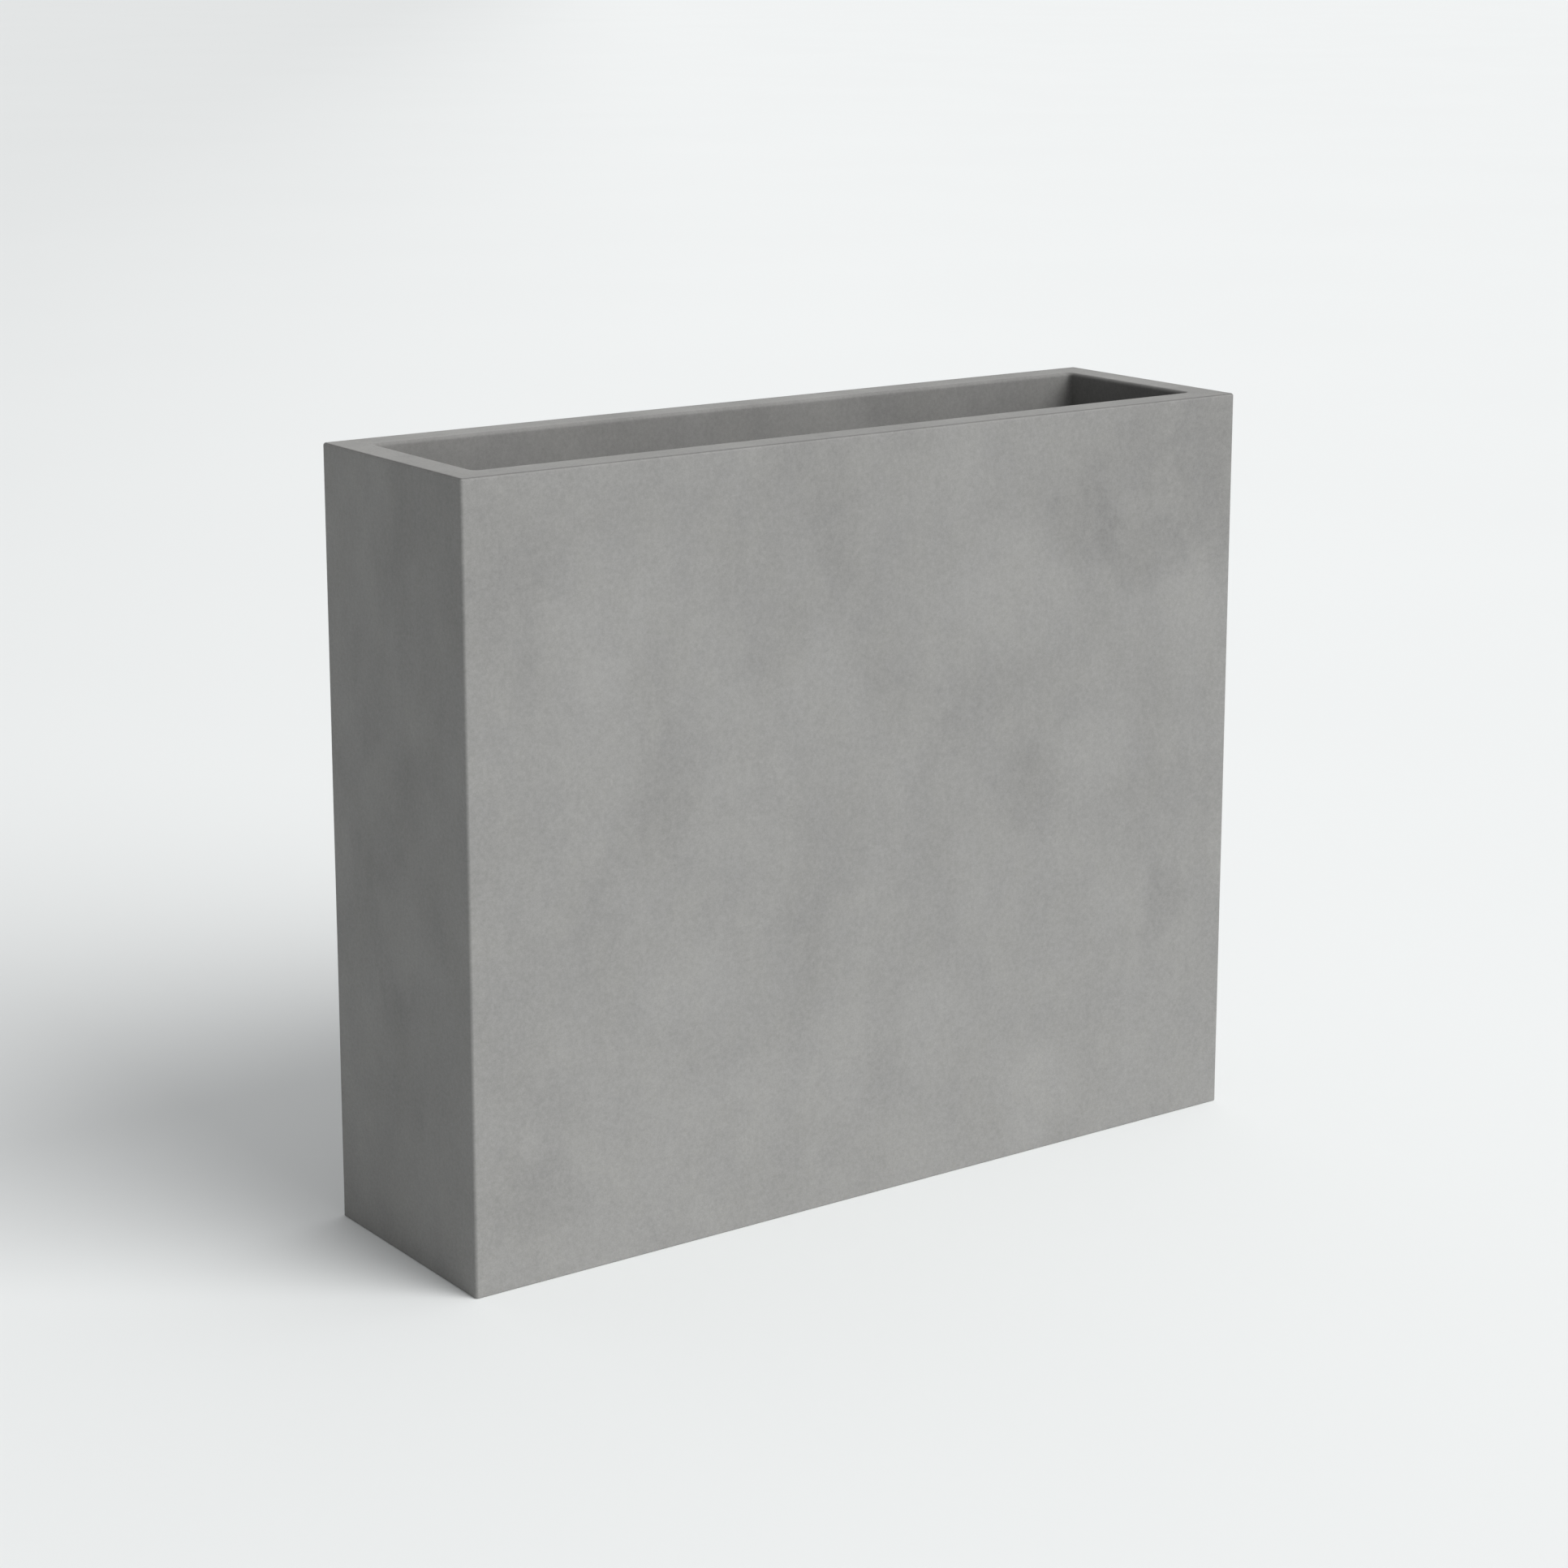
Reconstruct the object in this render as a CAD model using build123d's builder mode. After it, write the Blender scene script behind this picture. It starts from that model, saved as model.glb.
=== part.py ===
from build123d import *
import os

# Tall divider planter: a cast concrete shell on four levelling feet, with a raised floor and a
# planting insert that lifts out by its handles. Millimetres, +Z up. The origin is at the middle of
# the underside, X runs along the length and the front faces -Y.

os.makedirs("parts", exist_ok=True)

# ---- driving dimensions: the shell ----
length = 900.0
width = 250.0
height = 750.0
wall = 12.0
floor_thickness = 16.0
rim_width = 34.0  # flat top of the in-turned rim, from the outer face to the opening
rim_depth = 60.0  # upright inner face of the rim, below the top
outer_corner = 3.2
opening_corner = 5.0
cavity_corner = 8.0
top_round = 2.8
rim_round = 4.0
bottom_round = 1.2

# ---- driving dimensions: levelling feet ----
foot_block = 62.0  # side of each solid corner block inside the shell
recess_radius = 21.0
recess_depth = 13.0
pad_clearance = 2.0  # between a pad and its recess
pad_thickness = 9.0
stud_radius = 5.0
stud_collar_radius = 8.0
stud_collar_thickness = 3.0
stud_top_gap = 1.0  # from the stud's top down from its socket's top
spigot_radius = 4.0
spigot_length = 5.5
spigot_end_gap = 0.5
key_across_flats = 5.0
key_depth = 6.0
socket_across_flats = 17.0
socket_length = 30.0
socket_cover = 3.0  # concrete above each socket
key_hole_radius = 6.5

# ---- driving dimensions: drainage ----
drain_spacing = 560.0  # between the shell's two drains, along the length
sleeve_bore_radius = 11.0
sleeve_wall = 3.0
sleeve_flange_width = 6.0
sleeve_flange_thickness = 3.0
sleeve_recess = 1.0  # the sleeve's lower end stays this far above the underside
plug_spacing = 360.0  # between the insert's two drain plugs, and the deck's drains below them
deck_drain_radius = 20.0

# ---- driving dimensions: raised floor ----
batten_width = 40.0
batten_height = 20.0
batten_joint = 1.0  # open joint between the end and the side battens
deck_thickness = 14.0
deck_clearance = 3.0  # all round, as the deck passes the opening
deck_corner = 6.0
strip_width = 20.0
strip_thickness = 3.0
strip_spacing = 110.0
strip_end_gap = 20.0

# ---- driving dimensions: planting insert ----
liner_height = 262.0
liner_drop = 58.0  # from the top of the rim down to the insert's lip
liner_clearance = 4.0  # all round, as the lip passes the opening
liner_wall = 3.0
liner_floor = 3.0
liner_corner = 14.0
lip_width = 7.0
lip_thickness = 3.0
skirt_wall = 2.5
skirt_height = 12.0

# ---- driving dimensions: handles and plugs of the insert ----
wire_radius = 2.5
bail_length = 58.0  # from the pivot to the centre of the grip
bail_bend = 6.0
pivot_drop = 20.0  # from the lip's top down to the pivot
bracket_depth = 12.0  # from the end wall inwards
bracket_width = 16.0
bracket_height = 26.0
bracket_side_gap = 20.0  # from the insert's side wall to the bracket
bracket_gap = 0.5  # between the end of a bail's bend and its bracket
pivot_setback = 7.0  # from the end wall inwards to the pivot
pin_overrun = 1.0
rivet_radius = 2.0
rivet_head_radius = 3.6
rivet_head_thickness = 1.3
rivet_spacing = 18.0
plug_radius = 12.0
plug_flange_radius = 16.0
plug_flange_thickness = 4.0
plug_reach = 5.0  # below the insert's floor
plug_tab_length = 18.0
plug_tab_width = 5.0
plug_tab_height = 14.0
plug_tab_hole_radius = 3.0

running_fit = 0.05  # radial, shafts and cast-in sleeves
face_gap = 0.05  # between flat faces that turn on each other

# ---- sizes that follow ----
cavity_length = length - 2 * wall
cavity_width = width - 2 * wall
opening_length = length - 2 * rim_width
opening_width = width - 2 * rim_width
rim_step = rim_width - wall
rim_bottom = height - rim_depth
slope_bottom = rim_bottom - rim_step

foot_x = length / 2 - wall - foot_block / 2
foot_y = width / 2 - wall - foot_block / 2
socket_top = recess_depth + socket_length
block_height = socket_top + socket_cover
pad_radius = recess_radius - pad_clearance
collar_bottom = pad_thickness + face_gap
collar_top = collar_bottom + stud_collar_thickness
stud_top = socket_top - stud_top_gap
foot_places = {
    "front_left": (-foot_x, -foot_y),
    "front_right": (foot_x, -foot_y),
    "back_left": (-foot_x, foot_y),
    "back_right": (foot_x, foot_y),
}

drain_places = [(-drain_spacing / 2, 0), (drain_spacing / 2, 0)]
plug_places = [(-plug_spacing / 2, 0), (plug_spacing / 2, 0)]
sleeve_radius = sleeve_bore_radius + sleeve_wall

liner_top = height - liner_drop
liner_bottom = liner_top - liner_height
deck_top = liner_bottom - strip_thickness
deck_bottom = deck_top - deck_thickness
batten_bottom = deck_bottom - batten_height
deck_length = opening_length - 2 * deck_clearance
deck_width = opening_width - 2 * deck_clearance

lip_length = opening_length - 2 * liner_clearance
lip_across = opening_width - 2 * liner_clearance
liner_length = lip_length - 2 * lip_width
liner_width = lip_across - 2 * lip_width
inner_length = liner_length - 2 * liner_wall
inner_width = liner_width - 2 * liner_wall

pivot_x = inner_length / 2 - pivot_setback
pivot_z = liner_top - pivot_drop
bracket_x = inner_length / 2 - bracket_depth / 2
bracket_y = inner_width / 2 - bracket_side_gap - bracket_width / 2
leg_y = bracket_y - bracket_width / 2 - bracket_gap - bail_bend
pin_end_y = bracket_y + bracket_width / 2 + pin_overrun
bracket_places = [(sx * bracket_x, sy * bracket_y) for sx in (-1, 1) for sy in (-1, 1)]


def save(piece, name):
    """Label a finished piece and write its STEP file."""
    piece.part.label = name
    export_step(piece.part, f"parts/{name}.step")


# ---- shell: walls, in-turned rim with a sloped underside, floor and corner blocks ----
with BuildPart() as shell:
    with BuildSketch():
        RectangleRounded(length, width, outer_corner)
    extrude(amount=height)
    fillet(shell.faces().sort_by(Axis.Z)[-1].edges(), top_round)
    fillet(shell.faces().sort_by(Axis.Z)[0].edges(), bottom_round)

    with BuildSketch(Plane.XY.offset(floor_thickness)):
        RectangleRounded(cavity_length, cavity_width, cavity_corner)
    extrude(amount=slope_bottom - floor_thickness, mode=Mode.SUBTRACT)

    with BuildSketch(Plane.XY.offset(slope_bottom)):
        RectangleRounded(cavity_length, cavity_width, cavity_corner)
    with BuildSketch(Plane.XY.offset(rim_bottom)):
        RectangleRounded(opening_length, opening_width, opening_corner)
    loft(mode=Mode.SUBTRACT)

    with BuildSketch(Plane.XY.offset(rim_bottom)):
        RectangleRounded(opening_length, opening_width, opening_corner)
    extrude(amount=rim_depth, mode=Mode.SUBTRACT)
    top_face = shell.faces().filter_by(Axis.Z).sort_by(Axis.Z)[-1]
    fillet(top_face.inner_wires()[0].edges(), rim_round)

    # Corner blocks run into both walls, and hold the feet.
    with BuildSketch(Plane.XY.offset(floor_thickness / 2)):
        with Locations(*foot_places.values()):
            Rectangle(foot_block + wall, foot_block + wall)
        RectangleRounded(length - wall, width - wall, outer_corner, mode=Mode.INTERSECT)
    extrude(amount=block_height - floor_thickness / 2)

    with Locations(*foot_places.values()):
        Cylinder(
            recess_radius,
            recess_depth,
            align=(Align.CENTER, Align.CENTER, Align.MIN),
            mode=Mode.SUBTRACT,
        )
    with BuildSketch(Plane.XY.offset(recess_depth)):
        with Locations(*foot_places.values()):
            RegularPolygon(socket_across_flats / 2, 6, major_radius=False)
    extrude(amount=socket_length, mode=Mode.SUBTRACT)
    with BuildSketch(Plane.XY.offset(socket_top)):
        with Locations(*foot_places.values()):
            Circle(key_hole_radius)
    extrude(amount=socket_cover, mode=Mode.SUBTRACT)

    with Locations(*[(x, y, floor_thickness) for x, y in drain_places]):
        Hole(sleeve_radius + running_fit, floor_thickness)
save(shell, "shell")


# ---- drain sleeves: cast into the floor, with a flange on top of it ----
with BuildPart() as drain_sleeves:
    with BuildSketch(Plane.XY.offset(sleeve_recess)):
        with Locations(*drain_places):
            Circle(sleeve_radius)
    extrude(amount=floor_thickness - sleeve_recess)
    with BuildSketch(Plane.XY.offset(floor_thickness)):
        with Locations(*drain_places):
            Circle(sleeve_radius + sleeve_flange_width)
    extrude(amount=sleeve_flange_thickness)
    sleeve_top = floor_thickness + sleeve_flange_thickness
    with Locations(*[(x, y, sleeve_top) for x, y in drain_places]):
        Hole(sleeve_bore_radius, sleeve_top)
save(drain_sleeves, "drain_sleeves")


# ---- foot sockets: hexagonal, cast into the corner blocks above the recesses ----
with BuildPart() as foot_sockets:
    with BuildSketch(Plane.XY.offset(recess_depth)):
        with Locations(*foot_places.values()):
            RegularPolygon(socket_across_flats / 2, 6, major_radius=False)
            Circle(stud_radius + running_fit, mode=Mode.SUBTRACT)
    extrude(amount=socket_length)
save(foot_sockets, "foot_sockets")


def foot_pad(x, y):
    """A pad with a blind hole on top, in which its stud turns."""
    with BuildPart() as pad:
        with BuildSketch():
            with Locations((x, y)):
                Circle(pad_radius)
        extrude(amount=pad_thickness)
        chamfer(pad.edges().sort_by(Axis.Z)[-1], 1.5)
        with Locations((x, y, pad_thickness)):
            Hole(spigot_radius + running_fit, spigot_length + spigot_end_gap)
    return pad


def foot_stud(x, y):
    """A stud: spigot, collar and shank, with a hexagonal key socket in its top."""
    with BuildPart() as stud:
        with BuildSketch(Plane.XY.offset(pad_thickness - spigot_length)):
            with Locations((x, y)):
                Circle(spigot_radius)
        extrude(amount=spigot_length + face_gap)
        with BuildSketch(Plane.XY.offset(collar_bottom)):
            with Locations((x, y)):
                Circle(stud_collar_radius)
        extrude(amount=stud_collar_thickness)
        with BuildSketch(Plane.XY.offset(collar_top)):
            with Locations((x, y)):
                Circle(stud_radius)
        extrude(amount=stud_top - collar_top)
        chamfer(stud.faces().sort_by(Axis.Z)[-1].edges(), 1.0)
        with BuildSketch(Plane.XY.offset(stud_top)):
            with Locations((x, y)):
                RegularPolygon(key_across_flats / 2, 6, major_radius=False)
        extrude(amount=-key_depth, mode=Mode.SUBTRACT)
    return stud


for corner, (x, y) in foot_places.items():
    save(foot_pad(x, y), f"foot_pad_{corner}")
    save(foot_stud(x, y), f"foot_stud_{corner}")


# ---- ledge battens: bonded inside the walls, clear of the coved corners ----
with BuildPart() as ledge_battens:
    side_length = cavity_length - 2 * cavity_corner
    side_y = (cavity_width - batten_width) / 2
    end_length = cavity_width - 2 * (batten_width + batten_joint)
    end_x = (cavity_length - batten_width) / 2
    with BuildSketch(Plane.XY.offset(batten_bottom)):
        with Locations((0, -side_y), (0, side_y)):
            Rectangle(side_length, batten_width)
    extrude(amount=batten_height)
    with BuildSketch(Plane.XY.offset(batten_bottom)):
        with Locations((-end_x, 0), (end_x, 0)):
            Rectangle(batten_width, end_length)
    extrude(amount=batten_height)
save(ledge_battens, "ledge_battens")


# ---- deck: the raised floor panel ----
with BuildPart() as deck:
    with BuildSketch(Plane.XY.offset(deck_bottom)):
        RectangleRounded(deck_length, deck_width, deck_corner)
    extrude(amount=deck_thickness)
    with Locations(*[(x, y, deck_top) for x, y in plug_places]):
        Hole(deck_drain_radius, deck_thickness)
save(deck, "deck")


# ---- deck strips: rubber, under the insert ----
with BuildPart() as deck_strips:
    with BuildSketch(Plane.XY.offset(deck_top)):
        with Locations((0, -strip_spacing / 2), (0, strip_spacing / 2)):
            Rectangle(liner_length - 2 * strip_end_gap, strip_width)
    extrude(amount=strip_thickness)
save(deck_strips, "deck_strips")


# ---- liner: the planting insert, a box with an outward lip and a short skirt ----
with BuildPart() as liner:
    with BuildSketch(Plane.XY.offset(liner_bottom)):
        RectangleRounded(liner_length, liner_width, liner_corner)
    extrude(amount=liner_height)
    with BuildSketch(Plane.XY.offset(liner_top - skirt_height)):
        RectangleRounded(lip_length, lip_across, liner_corner + lip_width)
        RectangleRounded(
            lip_length - 2 * skirt_wall,
            lip_across - 2 * skirt_wall,
            liner_corner + lip_width - skirt_wall,
            mode=Mode.SUBTRACT,
        )
    extrude(amount=skirt_height)
    with BuildSketch(Plane.XY.offset(liner_top - lip_thickness)):
        RectangleRounded(lip_length, lip_across, liner_corner + lip_width)
    extrude(amount=lip_thickness)
    fillet(liner.faces().sort_by(Axis.Z)[-1].edges(), 1.0)
    with BuildSketch(Plane.XY.offset(liner_bottom + liner_floor)):
        RectangleRounded(inner_length, inner_width, liner_corner - liner_wall)
    extrude(amount=liner_height - liner_floor, mode=Mode.SUBTRACT)

    with Locations(*[(x, y, liner_bottom + liner_floor) for x, y in plug_places]):
        Hole(plug_radius, liner_floor)
    rivet_z = [pivot_z - rivet_spacing / 2, pivot_z + rivet_spacing / 2]
    with BuildSketch(Plane.YZ.offset(-liner_length / 2)):
        with Locations(*[(sy * bracket_y, z) for sy in (-1, 1) for z in rivet_z]):
            Circle(rivet_radius + running_fit)
    extrude(amount=liner_length, mode=Mode.SUBTRACT)
save(liner, "liner")


# ---- handle brackets: bearing blocks inside the insert's end walls ----
with BuildPart() as handle_brackets:
    with BuildSketch(Plane.XY.offset(pivot_z - bracket_height / 2)):
        with Locations(*bracket_places):
            Rectangle(bracket_depth, bracket_width)
    extrude(amount=bracket_height)
    with BuildSketch(Plane.XZ.offset(-pin_end_y)):
        with Locations((-pivot_x, pivot_z), (pivot_x, pivot_z)):
            Circle(wire_radius + running_fit)
    extrude(amount=2 * pin_end_y, mode=Mode.SUBTRACT)
    with BuildSketch(Plane.YZ.offset(-liner_length / 2)):
        with Locations(*[(sy * bracket_y, z) for sy in (-1, 1) for z in rivet_z]):
            Circle(rivet_radius + running_fit)
    extrude(amount=liner_length, mode=Mode.SUBTRACT)
save(handle_brackets, "handle_brackets")


# ---- bracket rivets: through each end wall and its brackets, with a head at both ends ----
with BuildPart() as bracket_rivets:
    shank_inner = inner_length / 2 - bracket_depth
    rivet_rows = [
        (shank_inner - rivet_head_thickness, rivet_head_thickness, rivet_head_radius),
        (shank_inner, bracket_depth + liner_wall, rivet_radius),
        (liner_length / 2, rivet_head_thickness, rivet_head_radius),
    ]
    for start, reach, radius in rivet_rows:
        for side in (-1, 1):
            with BuildSketch(Plane.YZ.offset(side * start)):
                with Locations(*[(sy * bracket_y, z) for sy in (-1, 1) for z in rivet_z]):
                    Circle(radius)
            extrude(amount=side * reach)
save(bracket_rivets, "bracket_rivets")


def handle(side):
    """A wire bail that hangs from its pivot, at the left (-1) or right (1) end of the insert."""
    x = side * pivot_x
    grip_z = pivot_z - bail_length
    with BuildPart() as bail:
        with BuildLine() as route:
            FilletPolyline(
                (x, -pin_end_y, pivot_z),
                (x, -leg_y, pivot_z),
                (x, -leg_y, grip_z),
                (x, leg_y, grip_z),
                (x, leg_y, pivot_z),
                (x, pin_end_y, pivot_z),
                radius=bail_bend,
            )
        with BuildSketch(Plane(origin=route.line @ 0, z_dir=route.line % 0)):
            Circle(wire_radius)
        sweep()
    return bail


save(handle(-1), "handle_left")
save(handle(1), "handle_right")


def drain_plug(x):
    """A rubber plug in the insert's floor, with a pull tab on its flange."""
    flange_bottom = liner_bottom + liner_floor
    flange_top = flange_bottom + plug_flange_thickness
    with BuildPart() as plug:
        with BuildSketch(Plane.XY.offset(liner_bottom - plug_reach)):
            with Locations((x, 0)):
                Circle(plug_radius - running_fit)
        extrude(amount=plug_reach + liner_floor)
        chamfer(plug.faces().sort_by(Axis.Z)[0].edges(), 1.0)
        with BuildSketch(Plane.XY.offset(flange_bottom)):
            with Locations((x, 0)):
                Circle(plug_flange_radius)
        extrude(amount=plug_flange_thickness)
        fillet(plug.faces().sort_by(Axis.Z)[-1].edges(), 1.0)
        with BuildSketch(Plane.XZ.offset(-plug_tab_width / 2)):
            with Locations((x, flange_top + plug_tab_height / 2)):
                RectangleRounded(plug_tab_length, plug_tab_height, 4.0)
            with Locations((x, flange_top + 2.0)):
                Rectangle(plug_tab_length, 4.0)
            with Locations((x, flange_top + plug_tab_height / 2)):
                Circle(plug_tab_hole_radius, mode=Mode.SUBTRACT)
        extrude(amount=plug_tab_width)
    return plug


for side, (x, y) in zip(("left", "right"), plug_places):
    save(drain_plug(x), f"drain_plug_{side}")
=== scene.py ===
import math
import bmesh
import bpy
from mathutils import Matrix, Vector, noise


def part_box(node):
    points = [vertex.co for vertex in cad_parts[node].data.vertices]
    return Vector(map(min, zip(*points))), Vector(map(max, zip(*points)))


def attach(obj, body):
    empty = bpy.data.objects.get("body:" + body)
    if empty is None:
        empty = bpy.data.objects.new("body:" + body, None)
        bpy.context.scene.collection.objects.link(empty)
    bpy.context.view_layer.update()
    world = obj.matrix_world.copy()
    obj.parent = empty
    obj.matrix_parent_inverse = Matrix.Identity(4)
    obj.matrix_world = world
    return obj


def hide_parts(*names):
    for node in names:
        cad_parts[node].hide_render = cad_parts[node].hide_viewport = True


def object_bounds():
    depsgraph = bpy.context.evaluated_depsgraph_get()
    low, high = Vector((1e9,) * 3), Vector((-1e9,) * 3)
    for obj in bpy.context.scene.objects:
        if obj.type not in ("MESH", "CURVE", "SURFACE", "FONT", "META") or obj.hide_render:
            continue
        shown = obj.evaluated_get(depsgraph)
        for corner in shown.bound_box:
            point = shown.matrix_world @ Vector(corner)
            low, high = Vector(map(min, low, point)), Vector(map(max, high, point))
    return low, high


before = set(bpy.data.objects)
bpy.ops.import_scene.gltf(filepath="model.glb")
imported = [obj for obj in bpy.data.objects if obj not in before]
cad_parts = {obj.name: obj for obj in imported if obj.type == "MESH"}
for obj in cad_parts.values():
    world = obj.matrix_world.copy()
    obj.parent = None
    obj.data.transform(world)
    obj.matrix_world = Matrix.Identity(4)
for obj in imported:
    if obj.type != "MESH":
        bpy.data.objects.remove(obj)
cad_box = [list(corner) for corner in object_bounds()]

# A tall divider planter in smooth grey concrete, with a planting insert that lifts out.
# Metres, in the frame's own axes: X along the length, the front faces -Y, Z up.

# ---------------------------------------------------------------- sizes
HALF_LENGTH, HALF_WIDTH, HEIGHT = Vector(cad_box[1])
CORNERS = ("front_left", "front_right", "back_left", "back_right")

WALL, FLOOR = 0.012, 0.016
RIM, RIM_BOTTOM, SLOPE_BOTTOM = 0.034, 0.690, 0.668
OUTER_CORNER, OPENING_CORNER, CAVITY_CORNER = 0.0032, 0.005, 0.008
LEAST_CORNER = 0.0004  # where a rounded edge closes in on itself
RIM_ROUND, TOP_ROUND, BOTTOM_ROUND = 0.004, 0.0028, 0.0012
WAVE, WAVE_LENGTH = 0.0004, 0.22  # how far in the skin wanders, and over what length
FOOT_BLOCK, FOOT_BLOCK_TOP = 0.037, 0.046  # reach of a corner block past its foot's axis, and its top
RECESS_RADIUS, RECESS_TOP = 0.021, 0.013
SOCKET_RADIUS, SOCKET_TOP = 0.0085 / math.cos(math.pi / 6), 0.043  # hexagonal, over its corners
KEY_HOLE_RADIUS = 0.0065
DRAIN_RADIUS, SLEEVE_FLANGE = 0.01405, 0.020

EDGE_WEAR_AND_HIGHLIGHT = 0.0035  # how wide a lighter corner is, partly wear and partly painted highlight


# ---------------------------------------------------------------- node and mesh helpers
class Nodes:
    """Short calls for building one material's node tree."""

    def __init__(self, name):
        self.material = bpy.data.materials.new(name)
        self.material.use_nodes = True
        self.tree = self.material.node_tree
        self.shader = self.tree.nodes["Principled BSDF"]
        coordinates = self.tree.nodes.new("ShaderNodeTexCoord")
        self.place = coordinates.outputs["Object"]

    def link(self, value, socket):
        """Joins a node's output to a socket, or sets the socket to a plain value."""
        if isinstance(value, bpy.types.NodeSocket):
            self.tree.links.new(value, socket)
        else:
            socket.default_value = value

    def math(self, operation, a, b=0.0, c=0.0):
        node = self.tree.nodes.new("ShaderNodeMath")
        node.operation = operation
        for value, socket in zip((a, b, c), node.inputs):
            self.link(value, socket)
        return node.outputs[0]

    def centred(self, value):
        """A noise value moved to lie about zero."""
        return self.math("SUBTRACT", value, 0.5)

    def vector(self, operation, a, b):
        node = self.tree.nodes.new("ShaderNodeVectorMath")
        node.operation = operation
        self.link(a, node.inputs[0])
        self.link(b, node.inputs[1])
        return node.outputs["Vector"]

    def xyz(self, vector):
        node = self.tree.nodes.new("ShaderNodeSeparateXYZ")
        self.link(vector, node.inputs[0])
        return node.outputs

    def noise(self, scale, detail=2.0, roughness=0.5, distortion=0.0, stretch=(1, 1, 1), shift=(0, 0, 0)):
        """A noise value, its pattern drawn out along each axis by stretch."""
        at = self.vector("ADD", self.place, shift)
        at = self.vector("DIVIDE", at, stretch)
        node = self.tree.nodes.new("ShaderNodeTexNoise")
        self.link(at, node.inputs["Vector"])
        node.inputs["Scale"].default_value = scale
        node.inputs["Detail"].default_value = detail
        node.inputs["Roughness"].default_value = roughness
        node.inputs["Distortion"].default_value = distortion
        return node.outputs["Fac"]

    def span(self, value, low, high, to_low=0.0, to_high=1.0, smooth=True):
        """value from low to high, carried over to to_low to to_high and held beyond them."""
        node = self.tree.nodes.new("ShaderNodeMapRange")
        node.interpolation_type = "SMOOTHSTEP" if smooth else "LINEAR"
        for number, socket in zip((value, low, high, to_low, to_high), node.inputs):
            self.link(number, socket)
        return node.outputs[0]

    def mix(self, share, a, b):
        node = self.tree.nodes.new("ShaderNodeMix")
        node.data_type = "RGBA"
        self.link(share, node.inputs["Factor"])
        self.link(a, node.inputs[6])  # the two colour sockets, and the colour result
        self.link(b, node.inputs[7])
        return node.outputs[2]

    def brighten(self, colour, gain):
        """colour times gain, a value."""
        at = self.tree.nodes.new("ShaderNodeVectorMath")
        at.operation = "SCALE"
        self.link(colour if isinstance(colour, bpy.types.NodeSocket) else colour[:3], at.inputs[0])
        self.link(gain, at.inputs["Scale"])
        return at.outputs[0]

    def bump(self, height, distance, strength=1.0, normal=None):
        node = self.tree.nodes.new("ShaderNodeBump")
        self.link(height, node.inputs["Height"])
        node.inputs["Distance"].default_value = distance
        node.inputs["Strength"].default_value = strength
        if normal is not None:
            self.link(normal, node.inputs["Normal"])
        return node.outputs[0]

    def set(self, **values):
        """Sets the shader's sockets, named with an underscore for each space, and gives the material."""
        for name, value in values.items():
            self.link(value, self.shader.inputs[name.replace("_", " ")])
        return self.material


def grey(value, warm):
    """A near-neutral linear colour, with less blue for a positive warm."""
    return (value * (1 + 0.15 * warm), value, value * (1 - warm), 1.0)


def add(name, mesh, body, material, replaced=()):
    """A new piece: its object, the body it rides on, its material and what it stands for."""
    piece = bpy.data.objects.new(name, mesh)
    bpy.context.scene.collection.objects.link(piece)
    mesh.materials.clear()
    mesh.materials.append(material)
    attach(piece, body)
    if replaced:
        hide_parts(*replaced)
    return piece


def shade(mesh, angle=35):
    """Smooth faces, with edges sharper than angle kept sharp."""
    mesh.polygons.foreach_set("use_smooth", [True] * len(mesh.polygons))
    mesh.set_sharp_from_angle(angle=math.radians(angle))


def plain_mesh(name, bm, outwards=True):
    """The mesh of a bmesh, which is freed, with its faces turned outwards."""
    if outwards:
        bmesh.ops.recalc_face_normals(bm, faces=bm.faces)
    mesh = bpy.data.meshes.new(name)
    bm.to_mesh(mesh)
    bm.free()
    return mesh


def smooth_mesh(name, bm, angle=35):
    """The mesh of a bmesh, shaded smooth except over edges sharper than angle."""
    mesh = plain_mesh(name, bm)
    shade(mesh, angle)
    return mesh


def bridge(bm, loops):
    """Joins loops of equal length, each to the next, and fills the first and the last."""
    for lower, upper in zip(loops, loops[1:]):
        for i in range(len(lower)):
            j = (i + 1) % len(lower)
            bm.faces.new((lower[i], lower[j], upper[j], upper[i]))
    bm.faces.new(reversed(loops[0]))
    bm.faces.new(loops[-1])


def spread(low, high, step):
    """Even places from low to high, about step apart, ends included."""
    count = max(1, round((high - low) / step))
    return [low + (high - low) * i / count for i in range(count + 1)]


def ring(half_x, half_y, corner, z, along_x, along_y, arc=8):
    """The points of a rounded rectangle and their outward directions, the same number whatever its size."""
    points = []
    corners = [(1, -1, -90), (1, 1, 0), (-1, 1, 90), (-1, -1, 180)]
    sides = [[(x, -half_y) for x in along_x], [(half_x, y) for y in along_y],
             [(x, half_y) for x in reversed(along_x)], [(-half_x, y) for y in reversed(along_y)]]
    outwards = [(0, -1), (1, 0), (0, 1), (-1, 0)]
    for side, outward, (sx, sy, start) in zip(sides, outwards, corners):
        points += [(Vector((x, y, z)), Vector((*outward, 0))) for x, y in side]
        centre = Vector((sx * (half_x - corner), sy * (half_y - corner), z))
        for i in range(arc + 1):
            angle = math.radians(start + 90 * i / arc)
            away = Vector((math.cos(angle), math.sin(angle), 0))
            points.append((centre + away * corner, away))
    return points


def skin(rings):
    """A closed mesh through rings of equal length, its two ends filled flat."""
    bm = bmesh.new()
    bridge(bm, [[bm.verts.new(point) for point in points] for points in rings])
    return bm


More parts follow.
